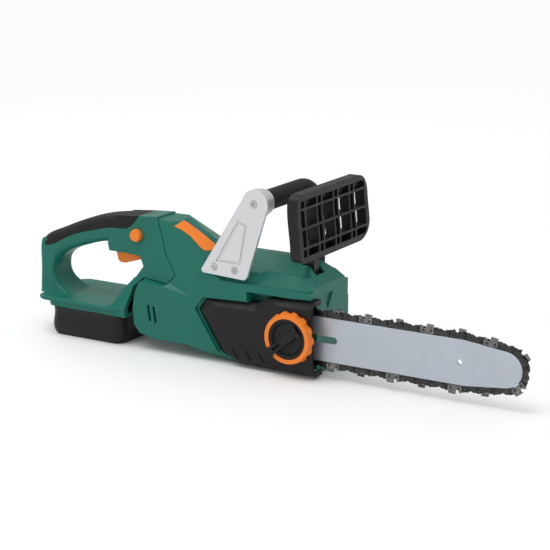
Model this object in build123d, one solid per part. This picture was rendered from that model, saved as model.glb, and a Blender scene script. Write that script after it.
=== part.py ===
from build123d import *
import os
from functools import lru_cache
from math import asin, atan2, cos, hypot, pi, sin

# Cordless chainsaw, in millimetres. X points forward along the bar, Y to the operator's left, Z up.
# The origin lies on the flat underside, below the bar stud, on the joint plane of the two housing shells.

# ---- driving dimensions ------------------------------------------------------------------------------
WALL = 2.8                  # moulded shell thickness of the housing
GRIP_WALL = 4.5             # wall of the rear handle, thick enough for its rounded edges
GAP = 0.3                   # least space between pieces on different bodies
FIT = 0.05                  # radial clearance of a running fit
SIDE_Y = 45.0               # half width of the housing
LEFT_Y = 50.0               # the left side bulges this far over the motor and the oil tank
SPINE_Z = 132.0             # flat top of the housing
FRONT_X = 24.0              # front face of the housing
BAR_Z = 47.0                # height of the bar's centre line
BAR_Y = -31.0               # middle plane of the bar and chain
PAD_Y = -27.4               # outer face of the wall behind the bar
COVER_Y = -47.0             # outer face of the side cover
PITCH = 9.525               # rivet to rivet distance of a 3/8 inch low-profile chain
DRIVE_LINKS = 40            # drive links in the loop of a 250 mm bar
DRIVE_TEETH = 6             # drive sprocket teeth
NOSE_TEETH = 8              # nose sprocket teeth
BAR_HALF = 26.0             # half height of the bar between its rails
RAIL_TO_RIVET = 3.8         # from a rail up to the rivets' line
NOSE_X = 258.4              # centre of the bar's nose
TAPER_X = 211.0             # the bar's edges run straight up to here
TUBE_R = 12.0               # radius of the front handle's tube
TUBE_X = -47.0              # the front handle's plane
TUBE_Z = 197.0              # height of the front handle's upper run
TUBE_LEFT_Y = 92.0          # the front handle's side run

CORE = Vector(-80, 0, 60)   # a point well inside the housing, to tell outward from inward


# ---- helpers -----------------------------------------------------------------------------------------
def box(x0, x1, y0, y1, z0, z1):
    """A block between two corners."""
    return Solid.make_box(x1 - x0, y1 - y0, z1 - z0, Plane((x0, y0, z0)))


def rod(radius, start, end):
    """A round bar from one point to another."""
    axis = Vector(*end) - Vector(*start)
    return Solid.make_cylinder(radius, axis.length, Plane(origin=start, z_dir=axis))


def ring(outer, inner, start, end):
    """A tube from one point to another."""
    return rod(outer, start, end) - rod(inner, start, end)


def side_prism(points, y0, y1):
    """An outline of (x, z) points, drawn out along Y."""
    outline = Wire.make_polygon([(x, y0, z) for x, z in points], close=True)
    return Solid.extrude(Face(outline), Vector(0, y1 - y0, 0))


def cross_prism(points, x0, x1):
    """An outline of (y, z) points, drawn out along X."""
    outline = Wire.make_polygon([(x0, y, z) for y, z in points], close=True)
    return Solid.extrude(Face(outline), Vector(x1 - x0, 0, 0))


def plan_prism(points, z0, z1):
    """An outline of (x, y) points, drawn out along Z."""
    outline = Wire.make_polygon([(x, y, z0) for x, y in points], close=True)
    return Solid.extrude(Face(outline), Vector(0, 0, z1 - z0))


def facet(a, b, c):
    """The plane through three points of a flat facet, as a point and an outward normal."""
    a, b, c = Vector(*a), Vector(*b), Vector(*c)
    normal = (b - a).cross(c - a).normalized()
    if normal.dot(CORE - a) > 0:
        normal = normal * -1
    return a, normal


def mirrored(facets):
    """The facets together with their mirror images across the joint plane."""
    other = [(Vector(p.X, -p.Y, p.Z), Vector(n.X, -n.Y, n.Z)) for p, n in facets]
    return list(facets) + other


def facet_block(bounds, facets, inset=0.0):
    """A convex block: a box trimmed by flat facets, all moved inward by the inset."""
    x0, x1, y0, y1, z0, z1 = bounds
    block = box(x0 + inset, x1 - inset, y0 + inset, y1 - inset, z0 + inset, z1 - inset)
    for point, normal in facets:
        plane = Plane(origin=point - normal * inset, z_dir=normal)
        block = block.split(plane, keep=Keep.BOTTOM)
    return block


def inset_outline(points, distance):
    """A closed outline moved inward by a distance, with its corners kept sharp."""
    area = sum(p[0] * q[1] - q[0] * p[1] for p, q in zip(points, points[1:] + points[:1]))
    turn = 1.0 if area > 0 else -1.0
    moved = []
    count = len(points)
    for i in range(count):
        before, here, after = points[i - 1], points[i], points[(i + 1) % count]
        ax, ay = here[0] - before[0], here[1] - before[1]
        bx, by = after[0] - here[0], after[1] - here[1]
        la, lb = hypot(ax, ay), hypot(bx, by)
        na = (-ay / la * turn, ax / la * turn)
        nb = (-by / lb * turn, bx / lb * turn)
        scale = distance / (1 + na[0] * nb[0] + na[1] * nb[1])
        moved.append((here[0] + (na[0] + nb[0]) * scale, here[1] + (na[1] + nb[1]) * scale))
    return moved


def softened(shape, edges, *radii):
    """The shape with the edges rounded by the largest of the radii that the shape allows."""
    for radius in radii:
        try:
            rounded = shape.fillet(radius, edges)
            if rounded.is_valid and rounded.volume > 0:
                return rounded
        except Exception:
            continue
    return shape


def largest(shape):
    """The largest solid of a shape, without the slivers that a cut has left."""
    return max(shape.solids(), key=lambda solid: solid.volume)


def mirror_y(shape):
    """The mirror image of a piece across the joint plane of the housing."""
    return shape.mirror(Plane.XZ)


def right_half(shape):
    """What lies to the right of the joint plane."""
    return shape & box(-600, 400, -200, 0, -50, 300)


def left_half(shape):
    """What lies to the left of the joint plane."""
    return shape & box(-600, 400, 0, 200, -50, 300)


def rounded_loft(sections):
    """A smooth solid through level rounded rectangles given as (z, x0, x1, half width, radius)."""
    wires = []
    for z, x0, x1, half_width, radius in sections:
        sketch = RectangleRounded(x1 - x0, 2 * half_width, radius)
        wires.append(sketch.face().outer_wire().moved(Location(((x0 + x1) / 2, 0, z))))
    return Solid.make_loft(wires)


# ---- housing -----------------------------------------------------------------------------------------
HUMP_SLOPE = facet((-179, -24, 154), (-131, -36, 124), (-126, -6, 133))
HUMP_SIDE = facet((-200, -20, 150), (-166, -36, 97), (-128, -43, 96))
HUMP_CREST = facet((-176, 0, 156.5), (-176, 10, 156.5), (-145, 0, 143.5))
HUMP_TOP = facet((-213, 0, 158), (-213, 10, 158), (-176, 0, 156.5))
FENDER_TOP = facet((-204, -45, 86), (-157, -45, 79), (-181, -37, 87))

FENDER_OUTLINE = [
    (-199, 93), (-213, 82), (-219, 67), (-222, 49), (-220, 30), (-212, 20), (-190, 16),
    (-142, 16), (-124, 9), (-78, 0), (20, 0), (FRONT_X, 4), (FRONT_X, 101), (-120, 101), (-160, 93),
]
SPINE_FACETS = [
    facet((-60, -12, SPINE_Z), (0, -12, SPINE_Z), (-60, -23, 123)),
    facet((-60, -23, 123), (0, -23, 123), (-60, -30, 113)),
    facet((-60, -30, 113), (-90, -30, 113), (-60, -SIDE_Y, 101)),
    facet((-122, -44, 99), (-119, -40, 114), (-111, -12, SPINE_Z)),
    facet((4, -SIDE_Y, 109), (FRONT_X, -37, 104), (FRONT_X, -38, 60)),
]
SHOULDER_FACETS = [
    facet((-20, -30, 114.5), (20, -30, 114.5), (-20, -SIDE_Y, 108.5)),
    facet((-20, -23, 123), (20, -23, 123), (-20, -30, 113.5)),
    facet((-53, -SIDE_Y, 101), (-36, -SIDE_Y, 108), (-47, -30, 114)),
    facet((4, -SIDE_Y, 109), (FRONT_X, -37, 104), (FRONT_X, -38, 60)),
]
NOSE_SLOPE = facet((3, 0, 129), (3, -12, 129), (FRONT_X, 0, 105))
BULGE_TOP = facet((-60, 31, 92), (20, 31, 92), (-60, 48, 80))


@lru_cache
def housing_form(inset):
    """The outside of the whole housing, or its cavity when it is inset by the wall."""
    hump = facet_block((-216, -85, -SIDE_Y, SIDE_Y, 60, 160),
                       mirrored([HUMP_SLOPE, HUMP_SIDE]) + [HUMP_CREST, HUMP_TOP], inset)
    outline = inset_outline(FENDER_OUTLINE, inset)
    lower = side_prism(outline, -SIDE_Y + inset, SIDE_Y - inset)
    keel = [(-60, 120), (-60, 15), (-SIDE_Y, 15), (-31, 0), (31, 0), (SIDE_Y, 15), (60, 15), (60, 120)]
    lower = lower & cross_prism(inset_outline(keel, inset), -300, 100)
    top = facet_block((-260, 60, -60, 60, -10, 200), mirrored([FENDER_TOP]), inset)
    rear_lower = (lower & top) & box(-260, -110, -60, 60, -10, 200)
    front_lower = lower & box(-126, 60, -60, 60, -10, 101 - inset)
    spine = facet_block((-124, FRONT_X, -SIDE_Y, SIDE_Y, 60, SPINE_Z),
                        mirrored(SPINE_FACETS) + [NOSE_SLOPE], inset)
    shoulders = facet_block((-60, FRONT_X, -SIDE_Y, SIDE_Y, 82, 124),
                            mirrored(SHOULDER_FACETS) + [NOSE_SLOPE], inset)
    bulge = facet_block((-122, FRONT_X - 2, 0, LEFT_Y, 6, 90), [BULGE_TOP], inset)
    return hump + rear_lower + front_lower + spine + shoulders + bulge


COVER_BASE = [(-118, 76), (-50, 79), (-33, 88), (29, 92), (31, 3), (-74, 4), (-99, 16), (-128, 62)]
COVER_FACE = [(-101, 70), (-47, 71), (-17, 82), (27, 82), (29, 7), (-72, 9), (-91, 20), (-113, 53)]
SPROCKET_X = -52.6
MOTOR_X, MOTOR_Z = SPROCKET_X - 36.0, BAR_Z + 20.14
GUARD_PIVOT = (4.0, 112.0)
LOCK_X, LOCK_Z = -232.0, 133.5
CAP_X, CAP_Z = -14.0, 56.0


SEAM_WIDTH, SEAM_DEPTH = 1.1, 1.8           # the groove between the handle module and the housing


def seam_outline():
    """The joint between the rear handle module and the housing, seen from the side."""
    return [(-260, 170), (-201.5, 170), (-201.5, 160), (-183, 119), (-165.5, 97.5), (-166, 94), (-177, 82.5),
            (-215, 84.5), (-226, 74), (-231, 47), (-231, -20), (-420, -20), (-420, 170)]


def cover_recess():
    """The space in the housing's right side that the cover, bar and chain take."""
    pocket = side_prism(inset_outline(COVER_BASE, -GAP), PAD_Y, -60)
    front = box(-60, 60, -60, PAD_Y, -5, 92.3)
    undercut = [(-120, 78), (-52, 81), (-34, 90), (40, 95), (40, -5), (-74, -5), (-100, 14), (-132, 62)]
    bevel = side_prism(undercut, -41.5, -60)
    return pocket + front + bevel


def housing_shell():
    """The hollow housing with its recess, slots and bores, not yet split into its two shells."""
    outer = housing_form(0.0) - side_prism(seam_outline(), -80, 80)
    cavity = housing_form(WALL) - box(-140, 60, -80, PAD_Y + WALL, -5, 98.5)
    cavity = cavity - side_prism(inset_outline(seam_outline(), -WALL), -80, 80)
    shell = outer - cover_recess() - cavity
    pocket = cross_prism([(-14, 93), (9, 93), (-3, 74)], FRONT_X - 2.2, FRONT_X + 5)
    shell = shell - pocket
    for x, z in ((-198, 47), (-190, 46)):
        slot = box(x - 1.6, x + 1.6, -60, 60, z - 10, z + 10)
        shell = shell - slot.rotate(Axis((x, 0, z), (0, 1, 0)), -9)
    shell = shell - rod(11.0 + FIT, (SPROCKET_X, PAD_Y - 5, BAR_Z), (SPROCKET_X, PAD_Y + 6, BAR_Z))
    shell = shell - box(-4, 15, -14.5, 5.5, 103, 140)
    shell = shell - rod(10.3, (CAP_X, 40, CAP_Z), (CAP_X, 60, CAP_Z))
    return shell



HEAD_SEAT = 5.65                            # depth of a screw head's seat below the shell's face
POSTS = [(-205, 60, 45), (-140, 66, 45), (-112, 101, 44), (8, 94, 45), (14, 13, 50)]


def housing_halves():
    """The two housing shells, with the screw posts that join them."""
    shell = housing_shell()
    right, left = right_half(shell), left_half(shell)
    solid = housing_form(0.5)
    for x, z, _ in POSTS:
        right = right + (rod(4.5, (x, 0, z), (x, -60, z)) & solid)
        left = left + (rod(5.5, (x, 0, z), (x, 60, z)) & solid)
    for x, z, y in POSTS:
        left = left - rod(4.4, (x, y - HEAD_SEAT, z), (x, y + 9, z))
    return right - cover_recess(), left


# ---- rear handle -------------------------------------------------------------------------------------
CREST = [(-383, 100), (-378, 113), (-355, 126), (-329, 137), (-303, 146.5), (-278, 152.5),
         (-252, 156), (-230, 157.5)]
GRIP_DEPTH = 2.0                            # thickness of the soft grip
CREST_RADIUS = 10.0                         # rounding of the handle's long edges
UNDERSIDE = [(-276, 119), (-290, 117), (-309, 111.5), (-335, 102), (-350, 93), (-358, 80)]


def handle_bar(inset):
    """The upper bar of the rear handle, arched from the rear column to the neck."""
    half = 19.0 - inset
    crest = [(x, z - inset) for x, z in CREST]
    under = [(x, z + inset) for x, z in UNDERSIDE]
    y = -half
    top = Edge.make_spline([Vector(x, y, z) for x, z in crest])
    low = Edge.make_spline([Vector(x, y, z) for x, z in under])
    front = Wire.make_polygon([(-230, y, 157.5 - inset), (-215, y, 157.5 - inset), (-215, y, 119 + inset),
                               (-276, y, 119 + inset)], close=False)
    back = Edge.make_line((-358, y, 80 + inset), (-383 + inset, y, 80 + inset))
    rear = Edge.make_line((-383 + inset, y, 80 + inset), (-383, y, 100 - inset))
    outline = Wire([top] + front.edges() + [low, back, rear])
    bar = Solid.extrude(Face(outline), Vector(0, 2 * half, 0))
    if inset > GRIP_DEPTH:
        return bar
    long_edges = [e for e in bar.edges() if e.geom_type == GeomType.BSPLINE and e.length > 60]
    return softened(bar, long_edges, CREST_RADIUS - inset, 8 - inset, 6 - inset)


def handle_column():
    """The rear column, which widens a little where it meets the battery platform."""
    return rounded_loft([(112, -380, -352, 18.5, 5), (98, -382.5, -354, 19, 5), (80, -382, -360, 19.5, 5),
                         (62, -382, -357, 20.5, 5), (52, -381, -345, 22.5, 5), (45, -379, -326, 26, 5)])


def neck_form(inset):
    """The neck that carries the handle's two ends into the housing."""
    outline = [(-262, 46), (-251, 51), (-241, 69), (-231, 81), (-218, 98), (-225, 109), (-274, 109.5),
               (-276, 119), (-262, 154.5), (-230, 157.5), (-190, 160), (-150, 160), (-150, 40),
               (-232, 36.4), (-262, 36.4)]
    seam = inset_outline(seam_outline(), -0.01)
    blank = side_prism(inset_outline(outline, inset), -60, 60) & side_prism(seam, -60, 60)
    upper = box(-290, -190, -19 + inset, 19 - inset, 80, 170)
    facets = mirrored([HUMP_SIDE, HUMP_SLOPE]) + [HUMP_CREST, HUMP_TOP]
    sides = facet_block((-290, -140, -50, 50, 36, 160), facets, inset)
    skirt = facet_block((-290, -190, -47.5, 47.5, 30, 84),
                        mirrored([facet((-260, -47.5, 48), (-220, -47.5, 48), (-240, -30, 84))]), inset)
    return blank & (upper + sides + skirt)


def platform():
    """The battery platform: a plate with an overhanging lip and a skirt with the battery's channel."""
    plate = rounded_loft([(43.2, -361, -238, 48.0, 13), (45.0, -367, -236, 50.0, 14),
                          (46.2, -367, -236, 49.8, 14), (47.4, -364, -236, 48.0, 13)])
    skirt = rounded_loft([(36.4, -351, -234, 46.9, 10), (44.2, -352, -234, 46.9, 10)])
    tongue = rounded_loft([(43.8, -379, -360, 16, 6), (46.6, -381, -360, 17, 6)])
    channel = box(-400, -236, -40, 40, 36, 42.2)
    return (plate + skirt + tongue) - channel


def handle_shell():
    """The whole rear handle module, hollow, with the openings for its controls."""
    body = handle_bar(0.0) + neck_form(0.0) + handle_column() + platform()
    core = handle_bar(GRIP_WALL) & box(-350, -205, -30, 30, 90, 170)
    inner = neck_form(GRIP_WALL)
    body = body - core - inner - box(-400, -237, -40, 40, 30, 42.2)
    body = body - (housing_form(0.0) - side_prism(seam_outline(), -80, 80))
    beyond = side_prism(inset_outline(seam_outline(), SEAM_WIDTH), -80, 80)
    seam = side_prism(seam_outline(), -80, 80) - beyond
    body = body - (seam - neck_form(SEAM_DEPTH))
    body = body - box(-274, -229.4, -9, 9, 100, 116)
    body = body - rod(8.3, (LOCK_X, -40, LOCK_Z), (LOCK_X, 40, LOCK_Z))
    return body


def grip_zone(y0, y1):
    """The part of the handle's crest that the soft grip covers, seen from the side."""
    lower = [(-373, 104), (-363, 106), (-345, 115), (-319, 126), (-293, 133), (-268, 138.5), (-243, 142),
             (-237, 147), (-226, 161)]
    edge = Edge.make_spline([Vector(x, y0, z) for x, z in lower])
    around = [(-226, 161), (-226, 175), (-400, 175), (-400, 104), (-373, 104)]
    rest = Wire.make_polygon([(x, y0, z) for x, z in around], close=False)
    return Solid.extrude(Face(Wire([edge] + rest.edges())), Vector(0, y1 - y0, 0))


def handle_pieces():
    """The two handle shells and the soft grip moulded over them."""
    shell = handle_shell()
    zone = grip_zone(-30, 30)
    outer = handle_bar(0.0) + (neck_form(0.0) & box(-262, -200, -30, 30, 100, 170))
    under = handle_bar(GRIP_DEPTH) + (neck_form(GRIP_DEPTH) & box(-262, -200, -30, 30, 100, 170))
    grip = (outer & zone) - under
    grip = largest(grip)
    shell = shell - grip
    return largest(right_half(shell)), largest(left_half(shell)), grip


def trim_panel():
    """The orange trim panel, inlaid in the right-hand slope of the hump."""
    point, normal = HUMP_SLOPE
    lean = Plane(origin=point, x_dir=(50, 0, -26.2), z_dir=normal)
    outline = [(5.2, 1), (5.5, 17.5), (10, 18.8), (37.5, 18.8), (56, 17.5), (60, 15.5), (62, 9.5), (57, 0.5),
               (53, -1), (47, -0.5), (28, 4), (16, 3.5)]
    corners = [lean.from_local_coords(Vector(x, y, -1.2)) for x, y in outline]
    face = Face(Wire.make_polygon(corners, close=True))
    return Solid.extrude(face, normal * 1.7)


# ---- bar and chain -----------------------------------------------------------------------------------
NOSE_R = NOSE_TEETH * PITCH / pi - RAIL_TO_RIVET + 0.05
TAIL_X = -34.0
SPROCKET_R = PITCH / (2 * sin(pi / (2 * DRIVE_TEETH)))


def taper_tangent():
    """Where the bar's tapered edge meets its round nose, measured from the nose's centre."""
    dx, dz = NOSE_X - TAPER_X, BAR_HALF
    turn = asin(NOSE_R / hypot(dx, dz)) - atan2(dz, dx)
    return NOSE_R * sin(-turn), NOSE_R * cos(turn)


def bar_outline():
    """Points along the bar's edge, clockwise from the tail's upper corner."""
    tx, tz = taper_tangent()
    start = atan2(tz, tx)
    count = 16
    arc = [(NOSE_X + NOSE_R * cos(start - 2 * start * i / count), NOSE_R * sin(start - 2 * start * i / count))
           for i in range(count + 1)]
    tail = [(TAIL_X, 19), (TAIL_X + 9, BAR_HALF), (TAPER_X, BAR_HALF)]
    return tail + arc + [(x, -z) for x, z in reversed(tail)]


def rivet_path():
    """The line that the chain's rivets follow round the bar and the drive sprocket."""
    tx, tz = taper_tangent()
    start = atan2(tz, tx)
    radius = NOSE_R + RAIL_TO_RIVET
    half = BAR_HALF + RAIL_TO_RIVET
    bend = TAIL_X + 9
    dx, dz = bend - SPROCKET_X, half
    lift = atan2(dz, dx) + asin(-SPROCKET_R / hypot(dx, dz))
    leave = lift + pi / 2
    steps = 40
    nose = [(NOSE_X + radius * cos(start * (1 - 2 * i / steps)), radius * sin(start * (1 - 2 * i / steps)))
            for i in range(steps + 1)]
    sweep = 2 * (pi - leave)
    around = [(SPROCKET_X + SPROCKET_R * cos(-leave - sweep * i / steps),
               SPROCKET_R * sin(-leave - sweep * i / steps)) for i in range(steps + 1)]
    upper = [(bend, half), (TAPER_X + 0.25, half)]
    lower = [(TAPER_X + 0.25, -half), (bend, -half)]
    return [(x, z + BAR_Z) for x, z in upper + nose + lower + around]


def rivet_points():
    """The places of all rivets, equally spaced round the loop, and the loop's natural pitch."""
    path = rivet_path()
    path = path + path[:1]
    lengths = [hypot(b[0] - a[0], b[1] - a[1]) for a, b in zip(path, path[1:])]
    total = sum(lengths)
    count = 2 * DRIVE_LINKS
    points, leg, walked = [], 0, 0.0
    for i in range(count):
        target = total * (i + 0.5) / count
        while walked + lengths[leg] < target:
            walked += lengths[leg]
            leg += 1
        part = (target - walked) / lengths[leg]
        a, b = path[leg], path[leg + 1]
        points.append((a[0] + (b[0] - a[0]) * part, a[1] + (b[1] - a[1]) * part))
    return points, total / count


def placed_link(outline, start, end, y0, y1):
    """A flat link drawn in its own frame, x from rivet to rivet and z outward, set between two rivets."""
    (x0, z0), (x1, z1) = start, end
    length = hypot(x1 - x0, z1 - z0)
    ux, uz = (x1 - x0) / length, (z1 - z0) / length
    mx, mz = (x0 + x1) / 2, (z0 + z1) / 2
    moved = [(mx + x * ux - z * uz, mz + x * uz + z * ux) for x, z in outline]
    link = side_prism(moved, y0, y1)
    for x, z in (start, end):
        link = link - rod(1.45, (x, y0 - 1, z), (x, y1 + 1, z))
    return link


DRIVE_OUTLINE = [(-7.6, -1.2), (-6.8, 2.4), (-3.4, 2.8), (-1.8, 4.5), (2.8, 4.9), (4.4, 2.9), (6.8, 2.4),
                 (7.6, -1.2), (5.4, -3.1),
                 (2.2, -5.6), (-1.6, -5.7), (-3.4, -3.4)]
STRAP_OUTLINE = [(-7.9, -2.6), (-8.3, 0.0), (-7.2, 3.0), (-4.8, 3.9), (-2.4, 3.2), (0.0, 1.9), (2.4, 3.2),
                 (4.8, 3.9), (7.2, 3.0), (8.3, 0.0), (7.9, -2.6), (0, -2.9)]
CUTTER_OUTLINE = [(-8.1, -2.6), (-8.4, 1.0), (-7.8, 5.4), (-6.0, 5.6), (-4.4, 2.6), (-1.6, 2.4), (-0.4, 7.4),
                  (7.4, 6.6), (8.4, 1.0), (8.1, -2.6), (0, -2.9)]
TANG = 0.65
STRAP_IN, STRAP_OUT = 0.72, 1.9


def chain_pieces():
    """Drive links, tie straps, cutters and rivets of the whole loop."""
    points, _ = rivet_points()
    count = len(points)
    drives, straps, cutters, rivets = [], [], [], []
    for i in range(0, count, 2):
        a, b, c = points[i], points[i + 1], points[(i + 2) % count]
        drives.append(placed_link(DRIVE_OUTLINE, a, b, BAR_Y - TANG, BAR_Y + TANG))
        kind = (i // 2) % 4
        for side in (-1, 1):
            y0, y1 = sorted((BAR_Y + side * STRAP_IN, BAR_Y + side * STRAP_OUT))
            is_cutter = (kind == 1 and side == -1) or (kind == 3 and side == 1)
            if not is_cutter:
                straps.append(placed_link(STRAP_OUTLINE, b, c, y0, y1))
                continue
            plate = placed_link(CUTTER_OUTLINE, b, c, y0, y1)
            roof = [(-0.4, 6.2), (-0.4, 7.4), (7.4, 6.6), (7.4, 5.5)]
            inner = BAR_Y - side * 1.3
            r0, r1 = sorted((BAR_Y + side * (STRAP_OUT + 0.7), inner))
            top = placed_link(roof, b, c, r0, r1)
            cutters.append(plate + top)
    for x, z in points:
        reach = STRAP_OUT + 0.45
        rivets.append(rod(1.4, (x, BAR_Y - reach, z), (x, BAR_Y + reach, z)))
    return drives, straps, cutters, rivets


def bar_pieces():
    """The guide bar, its nose sprocket and its rivets."""
    outline = [(x, z + BAR_Z) for x, z in bar_outline()]
    bar = side_prism(outline, BAR_Y - 2.0, BAR_Y + 2.0)
    groove = side_prism(inset_outline(outline, 5.0), BAR_Y - 0.8, BAR_Y + 0.8)
    slit = box(-100, 400, BAR_Y - 0.8, BAR_Y + 0.8, 0, 100) - groove
    bar = bar - slit
    slot = box(-15, 49, BAR_Y - 5, BAR_Y + 5, BAR_Z - 4.1, BAR_Z + 4.1)
    slot = slot + rod(4.1, (49, BAR_Y - 5, BAR_Z), (49, BAR_Y + 5, BAR_Z))
    slot = slot + rod(4.1, (-15, BAR_Y - 5, BAR_Z), (-15, BAR_Y + 5, BAR_Z))
    bar = bar - slot
    for x, z, r in ((-22, 12, 2.5), (-22, -12, 2.5), (205, 0, 3.2)):
        bar = bar - rod(r, (x, BAR_Y - 5, BAR_Z + z), (x, BAR_Y + 5, BAR_Z + z))
    chamber = rod(NOSE_R - 2.2, (NOSE_X, BAR_Y - 0.8, BAR_Z), (NOSE_X, BAR_Y + 0.8, BAR_Z))
    bar = bar - chamber - rod(2.6, (NOSE_X, BAR_Y - 5, BAR_Z), (NOSE_X, BAR_Y + 5, BAR_Z))
    star = nose_star()
    hub = rod(2.55, (NOSE_X, BAR_Y - 2.0, BAR_Z), (NOSE_X, BAR_Y + 2.0, BAR_Z))
    return bar, star, hub


def nose_star():
    """The sprocket sealed in the bar's nose."""
    tip, root = NOSE_R - 3.2, NOSE_R - 7.5
    points = []
    for i in range(NOSE_TEETH):
        middle = 2 * pi * i / NOSE_TEETH
        for offset, radius in ((-0.22, root), (-0.10, tip), (0.10, tip), (0.22, root)):
            points.append((NOSE_X + radius * cos(middle + offset), BAR_Z + radius * sin(middle + offset)))
    star = side_prism(points, BAR_Y - 0.5, BAR_Y + 0.5)
    return star - rod(2.55 + FIT, (NOSE_X, BAR_Y - 5, BAR_Z), (NOSE_X, BAR_Y + 5, BAR_Z))


# ---- side cover and clamping knob --------------------------------------------------------------------
def cover():
    """The cover over the drive sprocket, open at the front for the bar and chain."""
    def tapered(base, face, y_back, y_edge, y_face):
        wires = [Wire.make_polygon([(x, y, z) for x, z in pts], close=True)
                 for pts, y in ((base, y_edge), (face, y_face))]
        lid = Solid.make_loft(wires, ruled=True)
        return lid + side_prism(base, y_back, y_edge)

    outer = tapered(COVER_BASE, COVER_FACE, PAD_Y - 0.05, -40.5, COVER_Y)
    inner = tapered(inset_outline(COVER_BASE, 2.6), inset_outline(COVER_FACE, 1.6),
                    PAD_Y + 1, -38.2, COVER_Y + 2.4)
    shell = outer - inner
    shell = shell - box(20, 40, COVER_Y + 2.6, 0, 9.5, 85.5)
    shell = shell - rod(13.0, (0, -60, BAR_Z), (0, -30, BAR_Z))
    boss = ring(16.5, 13.0, (0, COVER_Y + 0.5, BAR_Z), (0, COVER_Y + 4.5, BAR_Z))
    shell = shell + boss
    for x in (-76, -58, -40):
        groove = [(x - 4, 22), (x - 1, 22), (x + 7, 11), (x + 4, 11)]
        shell = shell - side_prism(groove, COVER_Y - 1, COVER_Y + 1.2)
    ledge = side_prism([(-70, 29), (-36, 29), (-36, 30.2), (-70, 30.2)], COVER_Y - 0.6, COVER_Y + 0.5)
    return shell + ledge


KNOB_Y = -59.0


def tension_ring():
    """The scalloped ring that tensions the chain, with the scroll disc behind the cover."""
    y = COVER_Y - 0.4
    rim = Solid.make_cone(31, 29, 9.0, Plane(origin=(0, y, BAR_Z), z_dir=(0, -1, 0)))
    rim = rim - rod(24.0, (0, y - 2.0, BAR_Z), (0, y - 20, BAR_Z))
    rim = rim - rod(8.4, (0, 0, BAR_Z), (0, -80, BAR_Z))
    lobes = 14
    for i in range(lobes):
        angle = 2 * pi * (i + 0.5) / lobes
        x, z = 36.2 * cos(angle), BAR_Z + 36.2 * sin(angle)
        rim = rim - rod(7.0, (x, y + 1, z), (x, y - 13, z))
    notch = box(17, 40, -70, y - 5.0, -6.4, 6.4).rotate(Axis.Y, 180 - 40).moved(Location((0, 0, BAR_Z)))
    rim = rim - notch
    neck = ring(12.7, 8.4, (0, y, BAR_Z), (0, -40.4, BAR_Z))
    scroll = ring(16.0, 8.4, (0, -40.4, BAR_Z), (0, -38.4, BAR_Z))
    return rim + neck + scroll


def clamp_knob():
    """The black knob inside the ring, threaded on the bar stud, with its slot for the folding lever."""
    disc = rod(23.6, (0, COVER_Y - 2.8, BAR_Z), (0, KNOB_Y + 3.4, BAR_Z))
    dish = Solid.make_cone(20.5, 18, 3.2, Plane(origin=(0, KNOB_Y + 3.3, BAR_Z), z_dir=(0, 1, 0)))
    disc = disc - dish
    hub = rod(8.0, (0, KNOB_Y + 7, BAR_Z), (0, BAR_Y - 2.4, BAR_Z))
    post = rod(6.2, (0, KNOB_Y + 8, BAR_Z), (0, KNOB_Y + 3.6, BAR_Z))
    ears = [box(13.2, 19.2, KNOB_Y + 0.6, KNOB_Y + 8, s * 6.1 - 1.1, s * 6.1 + 1.1) for s in (-1, 1)]
    ears = [e.rotate(Axis.Y, -40).moved(Location((0, 0, BAR_Z))) for e in ears]
    knob = disc + hub + post + ears[0] + ears[1]
    knob = knob - rod(3.85, (0, -30, BAR_Z), (0, KNOB_Y + 8.4, BAR_Z))
    pin = rod(1.3, (16.2, KNOB_Y + 2.4, -20), (16.2, KNOB_Y + 2.4, 20)).rotate(Axis.Y, -40)
    return knob - pin.moved(Location((0, 0, BAR_Z)))


def clamp_lever():
    """The lever that folds flat across the knob, with a finger window in its long arm."""
    pin_y = KNOB_Y + 2.4
    arm = plan_prism([(16.2, KNOB_Y), (16.2, KNOB_Y + 2.2), (-24, KNOB_Y + 2.2), (-30, KNOB_Y + 1.9),
                      (-30, KNOB_Y - 0.2), (-24, KNOB_Y - 0.4), (10, KNOB_Y - 0.4)], -4.6, 4.6)
    arm = arm + rod(2.4, (16.2, pin_y, -4.6), (16.2, pin_y, 4.6))
    arm = arm - box(-22, -8, -80, -30, -1.6, 1.6)
    arm = arm - rod(1.35, (16.2, KNOB_Y + 2.4, -20), (16.2, KNOB_Y + 2.4, 20))
    return arm.rotate(Axis.Y, -40).moved(Location((0, 0, BAR_Z)))


def lever_pin():
    """The pin on which the lever folds."""
    pin = rod(1.3, (16.2, KNOB_Y + 2.4, -7.2), (16.2, KNOB_Y + 2.4, 7.2))
    return pin.rotate(Axis.Y, -40).moved(Location((0, 0, BAR_Z)))


# ---- front handle and hand guard ---------------------------------------------------------------------
def front_tube():
    """The tube of the front handle: across the top, down the left side and in to the housing."""
    path = FilletPolyline((TUBE_X, -33, TUBE_Z), (TUBE_X, TUBE_LEFT_Y, TUBE_Z), (TUBE_X, TUBE_LEFT_Y, 32),
                          (TUBE_X, LEFT_Y + 0.05, 32), radius=[36, 28])
    section = Plane(origin=(TUBE_X, -33, TUBE_Z), z_dir=(0, 1, 0)) * (Circle(TUBE_R - 1.6) - Circle(8.0))
    return sweep(section.face(), path=path)


def front_grip():
    """The soft sleeve over the front handle's tube."""
    path = FilletPolyline((TUBE_X, -29, TUBE_Z), (TUBE_X, TUBE_LEFT_Y, TUBE_Z), (TUBE_X, TUBE_LEFT_Y, 62),
                          radius=36)
    section = Plane(origin=(TUBE_X, -29, TUBE_Z), z_dir=(0, 1, 0)) * (Circle(TUBE_R) - Circle(TUBE_R - 1.57))
    return sweep(section.face(), path=path)


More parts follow.
